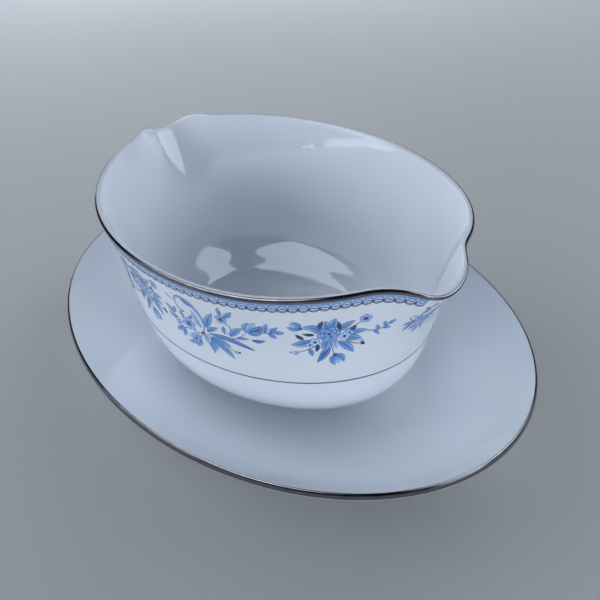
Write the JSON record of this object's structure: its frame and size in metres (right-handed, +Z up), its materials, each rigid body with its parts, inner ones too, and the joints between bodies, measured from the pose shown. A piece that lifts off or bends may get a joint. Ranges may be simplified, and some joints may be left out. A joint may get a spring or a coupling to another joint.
{
  "type": "gravy boat",
  "caption": "Oval porcelain gravy boat with a pouring lip at each end, fixed on an oval underplate, with metal rim bands and printed blue flowers.",
  "frame": {"origin": "on the table, under the middle of the underplate", "axes": "+X along the length towards the right-hand pouring lip, +Y across the width, +Z up"},
  "size_m": [0.2322, 0.1708, 0.0847],
  "materials": {
    "porcelain": "gloss",
    "slip_porcelain": "gloss",
    "platinum": "polished",
    "floral_transfer": "gloss",
    "lace_transfer": "gloss"
  },
  "bodies": {
    "root": {"boat_body": "porcelain", "underplate": "porcelain", "slip_joint": "slip_porcelain", "boat_rim_band": "platinum", "plate_rim_band": "platinum", "waist_line": "platinum", "rose_spray_front_1": "floral_transfer", "rose_spray_front_2": "floral_transfer", "rose_spray_front_3": "floral_transfer", "rose_spray_back_1": "floral_transfer", "rose_spray_back_2": "floral_transfer", "rose_spray_back_3": "floral_transfer", "scroll_bouquet_front_1": "floral_transfer", "scroll_bouquet_front_2": "floral_transfer", "scroll_bouquet_back_1": "floral_transfer", "scroll_bouquet_back_2": "floral_transfer", "lip_spray_right": "floral_transfer", "lip_spray_left": "floral_transfer", "lace_border_front": "lace_transfer", "lace_border_back": "lace_transfer"}
  },
  "joints": []
}
